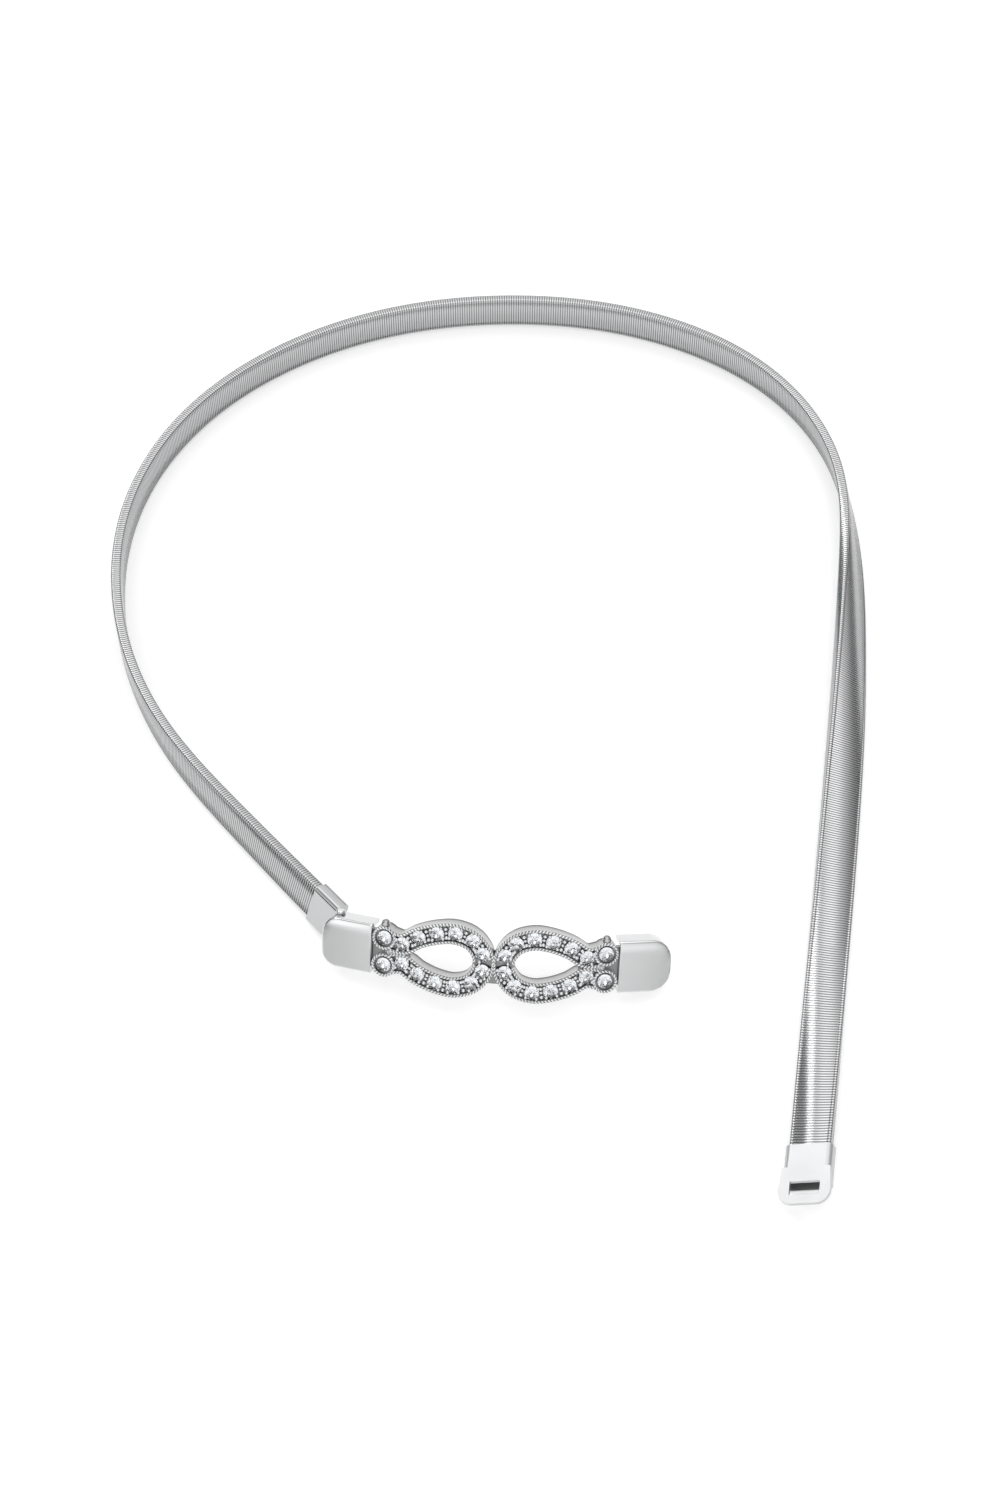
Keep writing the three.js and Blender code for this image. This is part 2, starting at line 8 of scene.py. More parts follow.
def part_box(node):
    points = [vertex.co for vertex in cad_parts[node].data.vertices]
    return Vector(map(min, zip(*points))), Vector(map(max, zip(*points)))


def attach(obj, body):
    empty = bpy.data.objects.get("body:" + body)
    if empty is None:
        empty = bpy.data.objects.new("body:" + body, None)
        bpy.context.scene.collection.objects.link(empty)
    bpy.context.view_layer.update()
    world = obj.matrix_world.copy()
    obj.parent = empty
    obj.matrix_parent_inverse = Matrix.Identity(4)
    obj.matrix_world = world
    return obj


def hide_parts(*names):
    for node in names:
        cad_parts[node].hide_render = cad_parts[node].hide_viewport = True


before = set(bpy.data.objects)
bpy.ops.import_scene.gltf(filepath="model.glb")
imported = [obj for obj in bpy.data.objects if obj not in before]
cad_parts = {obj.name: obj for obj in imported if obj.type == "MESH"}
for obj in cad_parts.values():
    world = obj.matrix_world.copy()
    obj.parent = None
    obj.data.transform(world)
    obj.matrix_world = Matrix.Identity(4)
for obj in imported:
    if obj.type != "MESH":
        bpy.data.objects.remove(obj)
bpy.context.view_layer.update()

# The table and its light: a white surface in a pale studio. A bright window stands far off on the
# left, wide soft lights hang overhead, beyond the belt and behind the viewer, and a dark screen
# stands low on the left. Bare metal looks the way that it mirrors them.

STUDIO_LIGHTS = [  # towards, degrees where it ends, degrees where it is full, level
    ((-0.51, 0.595, 0.622), 11, 6, 5.0),
    ((-0.94, -0.08, 0.22), 15, 11, -0.6),
    ((0.05, 0.15, 0.98), 30, 14, 1.0),
    ((-0.1, -0.97, 0.25), 75, 30, 0.7),
    ((-0.8, -0.3, 0.5), 24, 12, 0.5),
    ((0.1, 0.62, 0.7), 50, 22, 0.65),
]
SKY_LEVELS = [  # from straight below, past the dark horizon, to straight above
    (0.0, 0.9), (0.49, 0.6), (0.505, 0.04), (0.55, 0.06), (0.6, 0.3), (0.7, 0.5), (0.85, 0.42),
    (1.0, 0.5),
]
TABLE_REACH = 40.0
TABLE_TONE, TABLE_GLOW, TABLE_ROUGHNESS = 0.7, 0.45, 0.9


class Value:
    """A node's output that can be reckoned with as a number."""

    def __init__(self, tree, socket):
        self.tree, self.socket = tree, socket

    def reckon(self, how, first, second):
        return add(self.tree, "ShaderNodeMath", {"operation": how}, {0: first, 1: second})

    def __add__(self, other):
        return self.reckon("ADD", self, other)

    def __radd__(self, other):
        return self.reckon("ADD", other, self)

    def __mul__(self, other):
        return self.reckon("MULTIPLY", self, other)

    def __rmul__(self, other):
        return self.reckon("MULTIPLY", other, self)

    def __mod__(self, other):
        return self.reckon("MODULO", self, other)

    def __rmod__(self, other):
        return self.reckon("MODULO", other, self)

    def at_least(self, other):
        return self.reckon("MAXIMUM", self, other)

    def less(self, other):
        return self.reckon("LESS_THAN", self, other)

    def beside(self, out):
        """Another output of the same node."""
        return Value(self.tree, self.socket.node.outputs[out])


def put(tree, socket, value):
    """Links a socket to a value from a node, or sets a constant on it."""
    if isinstance(value, Value):
        tree.links.new(value.socket, socket)
    else:
        socket.default_value = value


def add(tree, kind, settings=None, inputs=None, out=0):
    """One node: its settings first, then the values or links of its sockets."""
    node = tree.nodes.new(kind)
    for name, value in (settings or {}).items():
        if name == "stops":
            ramp = node.color_ramp
            while len(ramp.elements) < len(value):
                ramp.elements.new(1.0)
            for element, (place, level) in zip(ramp.elements, value):
                element.position, element.color = place, grey(level)
        elif name == "captures":
            for data_type, key in value:
                node.capture_items.new(data_type, key)
        else:
            setattr(node, name, value)
    for name, value in (inputs or {}).items():
        put(tree, node.inputs[name], value)
    return Value(tree, node.outputs[out]) if node.outputs else node


def grey(level):
    return (level, level, level, 1.0)


def glow(tree, place, towards, wide, narrow, level):
    """A soft round light on the sky: full within one angle and gone beyond the other."""
    towards = Vector(towards).normalized()
    near = add(tree, "ShaderNodeVectorMath", {"operation": "DOT_PRODUCT"},
               {0: place, 1: towards}, out=1)
    end, full = [math.cos(math.radians(angle)) for angle in (wide, narrow)]
    return add(tree, "ShaderNodeMapRange", {"interpolation_type": "SMOOTHSTEP"},
               {0: near, 1: end, 2: full, 3: 0.0, 4: level})


def studio_sky():
    world = bpy.data.worlds.new("studio_sky")
    bpy.context.scene.world = world
    world.use_nodes = True
    tree = world.node_tree
    tree.nodes.clear()
    place = add(tree, "ShaderNodeTexCoord")
    height = add(tree, "ShaderNodeSeparateXYZ", inputs={0: place}, out=2)
    level = add(tree, "ShaderNodeValToRGB", {"stops": SKY_LEVELS}, {0: height * 0.5 + 0.5})
    bright = add(tree, "ShaderNodeRGBToBW", inputs={"Color": level})
    for light in STUDIO_LIGHTS:
        bright = bright + glow(tree, place, *light)
    bright = bright.at_least(0.0)
    sky = add(tree, "ShaderNodeBackground", inputs={"Color": grey(1.0), "Strength": bright})
    add(tree, "ShaderNodeOutputWorld", inputs={"Surface": sky})


def table_top():
    mesh = bpy.data.meshes.new("table_top")
    signs = ((-1, -1), (1, -1), (1, 1), (-1, 1))
    corners = [(x * TABLE_REACH, y * TABLE_REACH, 0) for x, y in signs]
    mesh.from_pydata(corners, [], [(0, 1, 2, 3)])
    top = bpy.data.objects.new("table_top", mesh)
    bpy.context.scene.collection.objects.link(top)
    material = bpy.data.materials.new("white_surface")
    material.use_nodes = True
    shader = material.node_tree.nodes["Principled BSDF"]
    shader.inputs["Base Color"].default_value = grey(TABLE_TONE)
    shader.inputs["Emission Color"].default_value = grey(1.0)
    shader.inputs["Emission Strength"].default_value = TABLE_GLOW
    shader.inputs["Roughness"].default_value = TABLE_ROUGHNESS
    shader.inputs["Specular IOR Level"].default_value = 0.0
    mesh.materials.append(material)


studio_sky()
table_top()
bpy.context.scene.view_settings.view_transform = "Standard"

# The band: one flat coil of bright steel ribbon, close wound, that stretches. Each turn shows as a
# fine rib across it, and a thin groove runs beside each edge, where the ribbon folds round. It
# stands on its edge round the waist, and leans over along its last stretch until it lies flat.

MM = 0.001
BAND_LENGTH = 638 * MM
BAND_WIDTH = 10 * MM
BAND_THICKNESS = 2.75 * MM
BAND_EDGE = 1.15 * MM
BEND_BLEND, BLEND_SAMPLES = 28 * MM, 9
FIRST_HEADING, FIRST_LEAN = 132, 24
FIT_GAP = 0.3 * MM
SHEET = 0.4 * MM
STRETCHES = [  # share of the length, turn in plan, lean at its end
    (0.0865, -2, 11), (0.05, -15, 1), (0.0805, -25.5, 0), (0.1205, -48, 0), (0.1, -33, 0),
    (0.06, -16.5, 0), (0.07, -26, 0), (0.1105, -55, 14), (0.04, -6, 38), (0.1, -3.2, 74),
    (0.09, -1, 90), (0.092, 0, 116),
]
CLIP_RISE_RUN, BOX_RISE_RUN = 0.13 * BAND_LENGTH, 0.12 * BAND_LENGTH
BUCKLE_LEAN, BUCKLE_HEADING, BUCKLE_BOW = math.radians(36), math.radians(-5), 120 * MM
PIN_REACH, KNUCKLE_OFFSET = 4.8 * MM, 2.8 * MM
PIN_DISCS = [  # place along the pin, radius
    (-6.2 * MM, 0.6 * MM), (6.5 * MM, 1.3 * MM), (6.7 * MM, 1.3 * MM), (7.1 * MM, 0.91 * MM),
]
RIB_PITCH = 0.7 * MM
RIB_DEPTH = 0.08 * MM
CORNER, CORNER_STEPS = 0.62 * MM, 3
EDGE_GROOVE = [(-0.44 * MM, 0.04 * MM), (-0.3 * MM, 0.2 * MM), (-0.12 * MM, 0.02 * MM)]
# The ribbon's own tone, and the painted shade for the gaps between turns and for the edge groove.
RIBBON_TONE, COIL_SHADE_TONE = (0.56, 0.565, 0.57, 1), (0.06, 0.06, 0.065, 1)


def along_rows(first, column, distance):
    """The heading or lean at a distance, straight between the rows' ends and then blended."""
    ends, values, running = [0.0], [first], first
    for row in STRETCHES:
        running = running + row[1] if column == 1 else row[2]
        ends.append(ends[-1] + row[0] * BAND_LENGTH)
        values.append(running)
    total = 0.0
    for k in range(BLEND_SAMPLES):
        place = distance + BEND_BLEND * (k / (BLEND_SAMPLES - 1) - 0.5)
        place = min(max(place, 0.0), BAND_LENGTH)
        row = next((n for n in range(len(STRETCHES)) if place <= ends[n + 1]), len(STRETCHES) - 1)
        share = (place - ends[row]) / (ends[row + 1] - ends[row])
        total += values[row] + share * (values[row + 1] - values[row])
    return math.radians(total / BLEND_SAMPLES)


def band_frame(distance):
    """The band's lean, and the directions across its face, through it and along it."""
    heading = along_rows(FIRST_HEADING, 1, distance)
    lean = along_rows(FIRST_LEAN, 2, distance)
    inward = Vector((math.sin(heading), -math.cos(heading), 0))
    up = Vector((0, 0, 1))
    across = up * math.cos(lean) + inward * math.sin(lean)
    through = inward * math.cos(lean) - up * math.sin(lean)
    return lean, across, through, Vector((math.cos(heading), math.sin(heading), 0))


def stand_height(lean, half_height, half_depth, radius):
    """How high the middle of a rounded section lies when its lowest side is on the table."""
    return ((half_height - radius) * abs(math.cos(lean))
            + (half_depth - radius) * abs(math.sin(lean)) + radius)


def fade(distance, run):
    share = min(max(distance / run, 0.0), 1.0)
    return 1 - share * share * (3 - 2 * share)


def buckle_turn():
    return Matrix.Rotation(BUCKLE_HEADING, 3, "Z") @ Matrix.Rotation(-BUCKLE_LEAN, 3, "X")


def pin_middle():
    """The middle of the hinge pin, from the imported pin's box: its ends are discs on one axis."""
    axis = buckle_turn() @ Vector((0, 0, 1))
    low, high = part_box("hinge_pin")
    middle = Vector((0, 0, 0))
    for k in range(3):
        side = math.sqrt(1 - axis[k] ** 2)
        near = min(b * axis[k] - r * side for b, r in PIN_DISCS)
        far = max(b * axis[k] + r * side for b, r in PIN_DISCS)
        middle[k] = (high[k] - far + low[k] - near) / 2
    return middle


PIN = pin_middle()


def lay_route(steps=368):
    """The middle of the band, from its start inside the clip to its end inside the slot box."""
    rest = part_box("stretch_band")[0].z
    lean, _, through, along = band_frame(0)
    place = PIN + along * PIN_REACH + through * KNUCKLE_OFFSET
    half, depth, grow = BAND_WIDTH / 2, BAND_THICKNESS / 2, FIT_GAP + SHEET
    clip_rise = place.z - rest - stand_height(lean, half, depth, BAND_EDGE)
    points, step = [], BAND_LENGTH / steps
    for k in range(steps + 1):
        distance = k * step
        if k:
            place = place + band_frame(distance - step / 2)[3] * step
        lean = band_frame(distance)[0]
        lying = stand_height(lean, half, depth, BAND_EDGE)
        box_rise = stand_height(lean, half + grow, depth + grow, BAND_EDGE + FIT_GAP) - lying
        height = (rest + lying + clip_rise * fade(distance, CLIP_RISE_RUN)
                  + box_rise * fade(BAND_LENGTH - distance, BOX_RISE_RUN))
        points.append(Vector((place.x, place.y, height)))
    return points


def new_piece(name, mesh):
    piece = bpy.data.objects.new(name, mesh)
    bpy.context.scene.collection.objects.link(piece)
    return piece


def point_object(name, points, vectors, joined=True, closed=False):
    """Points for a node tree to read: a run joined by edges, which it makes a curve, or loose."""
    edges = [(k, k + 1) for k in range(len(points) - 1)] if joined else []
    if closed:
        edges.append((len(points) - 1, 0))
    mesh = bpy.data.meshes.new(name)
    mesh.from_pydata(points, edges, [])
    for key, values in vectors.items():
        data = mesh.attributes.new(key, "FLOAT_VECTOR", "POINT").data
        for item, value in zip(data, values):
            item.vector = value
    return new_piece(name, mesh)


def node_tree(name, sockets):
    """A new geometry tree with named inputs, and the values read from them."""
    tree = bpy.data.node_groups.new(name, "GeometryNodeTree")
    tree.interface.new_socket("Geometry", in_out="INPUT", socket_type="NodeSocketGeometry")
    for key, kind in sockets.items():
        tree.interface.new_socket(key, in_out="INPUT", socket_type=kind)
    tree.interface.new_socket("Geometry", in_out="OUTPUT", socket_type="NodeSocketGeometry")
    start = add(tree, "NodeGroupInput").socket.node
    return tree, {socket.name: Value(tree, socket) for socket in start.outputs if socket.name}


def close_tree(tree, geometry, material):
    real = add(tree, "GeometryNodeRealizeInstances", inputs={"Geometry": geometry})
    done = add(tree, "GeometryNodeSetMaterial", inputs={"Geometry": real, "Material": material})
    add(tree, "NodeGroupOutput", inputs={0: done})


def named_vector(tree, name):
    return add(tree, "GeometryNodeInputNamedAttribute", {"data_type": "FLOAT_VECTOR"},
               {"Name": name})


def settle(piece):
    """Makes what the piece's modifiers show into its own plain mesh."""
    graph = bpy.context.evaluated_depsgraph_get()
    graph.update()
    shown = bpy.data.meshes.new_from_object(piece.evaluated_get(graph))
    piece.modifiers.clear()
    spent, piece.data = piece.data, shown
    bpy.data.meshes.remove(spent)
    shown.name = piece.name


def grow(piece, tree, values):
    """Runs a node tree on the piece and keeps its result."""
    modifier = piece.modifiers.new("grow", "NODES")
    modifier.node_group = tree
    for item in tree.interface.items_tree:
        if item.in_out == "INPUT" and item.name in values:
            modifier[item.identifier] = values[item.name]
    settle(piece)


def metal(name, finish, tone=None):
    """A bare metal of an even tone, or of the tone that its finish gives it."""
    material = bpy.data.materials.new(name)
    material.use_nodes = True
    shader = material.node_tree.nodes["Principled BSDF"]
    shader.inputs["Metallic"].default_value = 1.0
    if tone:
        shader.inputs["Base Color"].default_value = (*tone, 1)
    finish(material.node_tree, shader)
    return material


def object_noise(tree, scale, detail):
    place = add(tree, "ShaderNodeTexCoord", out=3)
    return add(tree, "ShaderNodeTexNoise",
               inputs={"Vector": place, "Scale": scale, "Detail": detail})


def mark(tree, name):
    """A number that the mesh carries from point to point."""
    return add(tree, "ShaderNodeAttribute", {"attribute_name": name}, out=2)


def coil_finish(tree, shader):
    """Bright ribbon, with painted shade where two turns meet and in the edge groove; unevenly
    polished.
    """
    shade = mark(tree, "meeting") * 0.9 + mark(tree, "trench") * 1.6
    tone = add(tree, "ShaderNodeMix", {"data_type": "RGBA"},
               {0: shade, 6: RIBBON_TONE, 7: COIL_SHADE_TONE}, out=2)
    put(tree, shader.inputs["Base Color"], tone)
    fine, broad = object_noise(tree, 900.0, 3.0), object_noise(tree, 60.0, 2.0)
    put(tree, shader.inputs["Roughness"], 0.14 + fine * 0.1 + broad * 0.1)


COIL_STEEL = metal("coil_steel", coil_finish)


def band_section():
    """Across one turn of the coil: flat faces, a groove beside each edge, and rounded corners."""
    wide, deep = BAND_WIDTH / 2 - CORNER, BAND_THICKNESS / 2 - CORNER
    quarter = [(wide + across, deep + CORNER - down) for across, down in EDGE_GROOVE]
    for k in range(CORNER_STEPS + 1):
        turn = math.pi / 2 * (1 - k / CORNER_STEPS)
        quarter.append((wide + CORNER * math.cos(turn), deep + CORNER * math.sin(turn)))
    right = quarter + [(x, -y) for x, y in reversed(quarter)]
    ring = right + [(-x, y) for x, y in reversed(right)]
    # The groove's middle point is marked for painted shade.
    groove_middle = 1
    trench = [Vector((float(k == groove_middle), 0, 0)) for k in range(len(quarter))]
    return [(x, y, 0) for x, y in reversed(ring)], (trench + trench[::-1]) * 2


def rib_tree():
    """Sweeps the section along the route, sinks one ring in three where two turns meet, and marks
    it for painted shade.
    """
    tree, given = node_tree("coil_ribs", {
        "Rings": "NodeSocketInt", "Rib depth": "NodeSocketFloat", "Section": "NodeSocketObject",
    })
    curve = add(tree, "GeometryNodeMeshToCurve", inputs={0: given["Geometry"]})
    curve = add(tree, "GeometryNodeResampleCurve", inputs={"Curve": curve, "Count": given["Rings"]})
    curve = add(tree, "GeometryNodeSetCurveNormal", {"mode": "FREE"},
                {"Curve": curve, "Normal": named_vector(tree, "across")})
    sunk = (add(tree, "GeometryNodeInputIndex") % 3.0).less(0.5)
    curve = add(tree, "GeometryNodeCaptureAttribute", {"captures": [("FLOAT", "sunk")]},
                {0: curve, 1: sunk})
    meeting = curve.beside(1)
    ring = add(tree, "GeometryNodeObjectInfo", inputs={"Object": given["Section"]}, out=4)
    ring = add(tree, "GeometryNodeMeshToCurve", inputs={0: ring})
    tube = add(tree, "GeometryNodeCurveToMesh",
               inputs={"Curve": curve, "Profile Curve": ring, "Fill Caps": True})
    normal = add(tree, "GeometryNodeInputNormal")
    # The sunk ring is marked, and the ribbon's material paints shade on it.
    tube = add(tree, "GeometryNodeStoreNamedAttribute", {"data_type": "FLOAT", "domain": "POINT"},
               {"Geometry": tube, "Name": "meeting", "Value": meeting})
    inwards = add(tree, "ShaderNodeVectorMath", {"operation": "SCALE"},
                  {0: normal, "Scale": meeting * given["Rib depth"] * -1.0})
    tube = add(tree, "GeometryNodeSetPosition", inputs={"Geometry": tube, "Offset": inwards})
    tube = add(tree, "GeometryNodeSetShadeSmooth", inputs={0: tube})
    close_tree(tree, tube, COIL_STEEL)
    return tree


def coil_band():
    route = lay_route()
    step = BAND_LENGTH / (len(route) - 1)
    across = [band_frame(k * step)[1] for k in range(len(route))]
    outline, trench = band_section()
    section = point_object("band_section", outline, {"trench": trench}, closed=True)
    band = point_object("coil_band", route, {"across": across})
    rings = 3 * round(BAND_LENGTH / RIB_PITCH) + 1
    grow(band, rib_tree(), {"Rings": rings, "Rib depth": RIB_DEPTH, "Section": section})
    bpy.data.objects.remove(section)
    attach(band, "band")
    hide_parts("stretch_band")


coil_band()

# The band's end fittings: sheet steel folded round each end of the coil and pressed shut. The clip
# has a knuckle rolled round the hinge pin and is plated bright. The slot box runs on as a rounded
# plate with the slot for the hook, and has a satin finish.

EASE, BOX_EASE = 0.14 * MM, 0.2 * MM
EASE_STEPS, WEIGHTED_STEPS = 2, 3
SHARP = math.radians(46)
FLAT = math.radians(0.2)
MERGE, SPECK = 1e-6, 2e-7


def plate_finish(tree, shader):
    put(tree, shader.inputs["Roughness"], 0.1 + object_noise(tree, 140.0, 4.0) * 0.14)


def satin_finish(tree, shader):
    put(tree, shader.inputs["Roughness"], 0.4 + object_noise(tree, 200.0, 4.0) * 0.08)


# The clip's plate: a darker copy of the caps' polished plate, painted shade that dims the bright
# table its front mirrors.
CLIP_SHADED_PLATE = metal("folded_plate", plate_finish, (0.52, 0.525, 0.53))
SATIN_PLATE = metal("satin_plate", satin_finish, (0.57, 0.575, 0.58))


def weigh_normals(piece):
    """Shades the piece smooth, with its large faces kept flat and its sharp edges sharp."""
    form = bmesh.new()
    form.from_mesh(piece.data)
    bmesh.ops.dissolve_degenerate(form, dist=SPECK, edges=form.edges)
    for face in form.faces:
        face.smooth = True
    for edge in form.edges:
        edge.smooth = len(edge.link_faces) == 2 and edge.calc_face_angle(0) < SHARP
    form.to_mesh(piece.data)
    form.free()
    piece.modifiers.new("weigh", "WEIGHTED_NORMAL").keep_sharp = True
    settle(piece)


def eased_copy(node, name, body, material, ease=EASE, shape=None, recess=None):
    """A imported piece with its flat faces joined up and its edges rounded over."""
    mesh = bpy.data.meshes.new(name)
    form = bmesh.new()
    form.from_mesh(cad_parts[node].data)
    bmesh.ops.remove_doubles(form, verts=form.verts, dist=MERGE)
    bmesh.ops.dissolve_limit(form, angle_limit=FLAT, verts=form.verts, edges=form.edges)
    if shape:
        shape(form)
    form.to_mesh(mesh)
    form.free()
    piece = new_piece(name, mesh)
    bevel = piece.modifiers.new("ease", "BEVEL")
    bevel.width, bevel.segments = ease, EASE_STEPS
    bevel.limit_method, bevel.angle_limit = "ANGLE", SHARP
    if mesh.attributes.get("bevel_weight_edge"):
        bevel.limit_method, bevel.segments = "WEIGHT", WEIGHTED_STEPS
    settle(piece)
    weigh_normals(piece)
    piece.data.materials.clear()
    piece.data.materials.append(material)
    for face in piece.data.polygons:
        face.material_index = 0
    if recess:
        recess(piece.data)
    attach(piece, body)
    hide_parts(node)


eased_copy("band_end_clip", "folded_clip", "band", CLIP_SHADED_PLATE)
eased_copy("slot_end_box", "slotted_box", "band", SATIN_PLATE, BOX_EASE)

# The buckle's two caps: bright plated sheet, bowed to the waist with the rest of the buckle. Each
# front falls softly away to its top edge and the ends of that edge, as polishing leaves it.

STRAND_END, BOSS_RADIUS, PIN_INSET = 26.8 * MM, 3 * MM, 3.2 * MM
CAP_LENGTH = 13 * MM
CAP_START = STRAND_END + BOSS_RADIUS + FIT_GAP
CAP_END = CAP_START + CAP_LENGTH
PIN_DEPTH = 3.6 * MM
HINGE_CAP_HALF, HINGE_CAP_CORNER = 6.2 * MM, 4 * MM
HOOK_CAP_HALF, HOOK_CAP_CORNER = 6.5 * MM, 5 * MM
PILLOW_DROP, PILLOW_WIDE, PILLOW_STEP = 0.5 * MM, 2.6 * MM, 0.65 * MM
FRONT_SKIN = 0.8 * MM
POLISHED_PLATE = metal("polished_plate", plate_finish, (0.68, 0.685, 0.69))


def bowed(along, up, front):
    """A place of the flat drawing, bent round the waist."""
    turn = along / BUCKLE_BOW
    radius = BUCKLE_BOW + front
    return Vector((radius * math.sin(turn), BUCKLE_BOW - radius * math.cos(turn), up))


PIN_LOCAL = bowed(PIN_INSET - CAP_END, 0, -PIN_DEPTH)


def on_buckle(along, up, front):
    return buckle_turn() @ (bowed(along, up, front) - PIN_LOCAL) + PIN


def off_buckle(place):
    """The along, up and front of a place in the buckle, drawn flat again."""
    local = buckle_turn().transposed() @ (place - PIN) + PIN_LOCAL
    across, back = local.x, BUCKLE_BOW - local.y
    along = math.atan2(across, back) * BUCKLE_BOW
    return Vector((along, local.z, math.hypot(across, back) - BUCKLE_BOW))


def pillow(half, corner):
    """Lets the front of a cap fall softly away towards its top edge."""
    def shape(form):
        for point in form.verts:
            point.co = off_buckle(point.co)
        cuts = [(0, side * (CAP_START + k * PILLOW_STEP)) for side in (-1, 1) for k in range(1, 20)]
        cuts += [(1, k * PILLOW_STEP) for k in range(10)]
        for axis, place in cuts:
            normal = Vector((axis == 0, axis == 1, 0))
            bmesh.ops.bisect_plane(
                form, geom=form.verts[:] + form.edges[:] + form.faces[:], dist=1e-7,
                plane_co=normal * place, plane_no=normal,
            )
        for point in form.verts:
            along, up, front = point.co
            beyond = Vector((abs(along) - (CAP_END - corner), abs(up) - (half - corner)))
            outside = Vector((max(beyond.x, 0), max(beyond.y, 0))).length
            inside = max(corner - outside - min(max(beyond.x, beyond.y), 0), 0)
            share = 1 - min(inside / PILLOW_WIDE, 1)
            if front > -FRONT_SKIN:
                front -= PILLOW_DROP * max(up / half, 0) * share ** 2
            point.co = on_buckle(along, up, front)
    return shape


eased_copy("cap_hinge_end", "hinge_cap", "buckle", POLISHED_PLATE, EASE,
           pillow(HINGE_CAP_HALF, HINGE_CAP_CORNER))
eased_copy("cap_hook_end", "hook_cap", "buckle", POLISHED_PLATE, EASE,
           pillow(HOOK_CAP_HALF, HOOK_CAP_CORNER))

# The hook behind the free cap, and the hinge's pin: both steel, plated like the caps. The hook is
# fixed inside its cap. The pin drops through cap and knuckle, and is held by its button head.

RIVET_EASE = 0.06 * MM

eased_copy("buckle_hook", "hook", "buckle", POLISHED_PLATE)
eased_copy("hinge_pin", "rivet_pin", "buckle", POLISHED_PLATE, RIVET_EASE)

# The two loops: one bright casting. Each strand is a channel between two rims, and it ends in a
# round boss. Painted shade darkens its channel, seats, rim tops, back and the walls' back edges.

LOOP_REACH, LOOP_RISE = STRAND_END, 6.8 * MM
STRAND_WIDTH, RIM_WIDTH, CASTING_DEPTH = 5.2 * MM, 0.75 * MM, 3.4 * MM
LOOP_INNER_END = 0.09
STONE_ROW = [  # shares of the loop's reach and rise
    (1, 0.51), (0.83, 0.37), (0.685, 0.69), (0.52, 0.92), (0.353, 1), (0.194, 0.79), (0.1, 0.31),
]
BACK_EASE, FRONT_EASE_SHARE, BACK_DEPTH = 0.5 * MM, 0.16, 3.2 * MM
# Painted shade on the casting's walls, growing darker from front to back.
WALL_SHADE_TONES = [(0.0, 0.54), (0.5, 0.44), (0.72, 0.34), (0.86, 0.12)]  # from front to back
# Painted shade in the recesses, under the rope work and on the back: a darker copy of the metal.
RECESS_SHADE_TONE, RECESS_ROUGHNESS = (0.28, 0.282, 0.286), 0.34
SHADE_BACK_DEPTH = -2.9 * MM
CHANNEL = (-BACK_DEPTH, -0.3 * MM)
SEAT = (-0.85 * MM, -0.2 * MM)


def strand_knots():
    knots = [Vector((a * LOOP_REACH, b * LOOP_RISE)) for a, b in STONE_ROW]
    knots.append(Vector((LOOP_INNER_END * LOOP_REACH, 0)))
    return knots + [Vector((k.x, -k.y)) for k in (knots[-2], knots[-3])]


def strand_point(place):
    """A smooth line through the stones' middles, at a place counted in stones."""
    knots = strand_knots()
    k = min(int(place), len(knots) - 2)
    share = place - k
    first, second = knots[k], knots[k + 1]
    before = knots[k - 1] if k else first * 2 - second
    after = knots[k + 2] if k + 2 < len(knots) else second * 2 - first
    pairs = ((before, first), (first, second), (second, after))
    gaps = [math.sqrt((q - p).length) for p, q in pairs]
    leave = ((first - before) / gaps[0] - (second - before) / (gaps[0] + gaps[1])
             + (second - first) / gaps[1]) * gaps[1]
    reach = ((second - first) / gaps[1] - (after - first) / (gaps[1] + gaps[2])
             + (after - second) / gaps[2]) * gaps[1]
    return (first + leave * share + (first * -3 + second * 3 - leave * 2 - reach) * share ** 2
            + (first * 2 - second * 2 + leave + reach) * share ** 3)


def cast_finish(tree, shader):
    grain = object_noise(tree, 1500.0, 3.0)
    put(tree, shader.inputs["Roughness"], 0.12 + grain * 0.16)
    bump = add(tree, "ShaderNodeBump",
               inputs={"Height": grain, "Distance": 0.02 * MM, "Strength": 0.25})
    put(tree, shader.inputs["Normal"], bump)


def wall_shade_finish(tree, shader):
    """The casting's own metal, with painted shade: bright at the front, and darker towards its back
    edge.
    """
    cast_finish(tree, shader)
    tone = add(tree, "ShaderNodeValToRGB", {"stops": WALL_SHADE_TONES}, {0: mark(tree, "depth")})
    put(tree, shader.inputs["Base Color"], tone)


def recess_shade_finish(tree, shader):
    shader.inputs["Roughness"].default_value = RECESS_ROUGHNESS


CAST_METAL = metal("cast_metal", wall_shade_finish)


def round_back(form):
    """Rounds the casting's back edges widely and its front edges finely."""
    weight = form.edges.layers.float.new("bevel_weight_edge")
    for edge in form.edges:
        if len(edge.link_faces) == 2 and edge.calc_face_angle(0) > SHARP:
            deep = all(off_buckle(point.co).z < -BACK_DEPTH for point in edge.verts)
            edge[weight] = 1.0 if deep else FRONT_EASE_SHARE


def inner(place):
    """True between the two rims of a strand or inside a boss."""
    along, up, _ = off_buckle(place)
    spot = Vector((abs(along), abs(up)))
    gaps = [(strand_point(k / 8) - spot).length for k in range(8 * len(STONE_ROW) + 1)]
    return min(gaps) < STRAND_WIDTH / 2 - RIM_WIDTH + 0.1 * MM


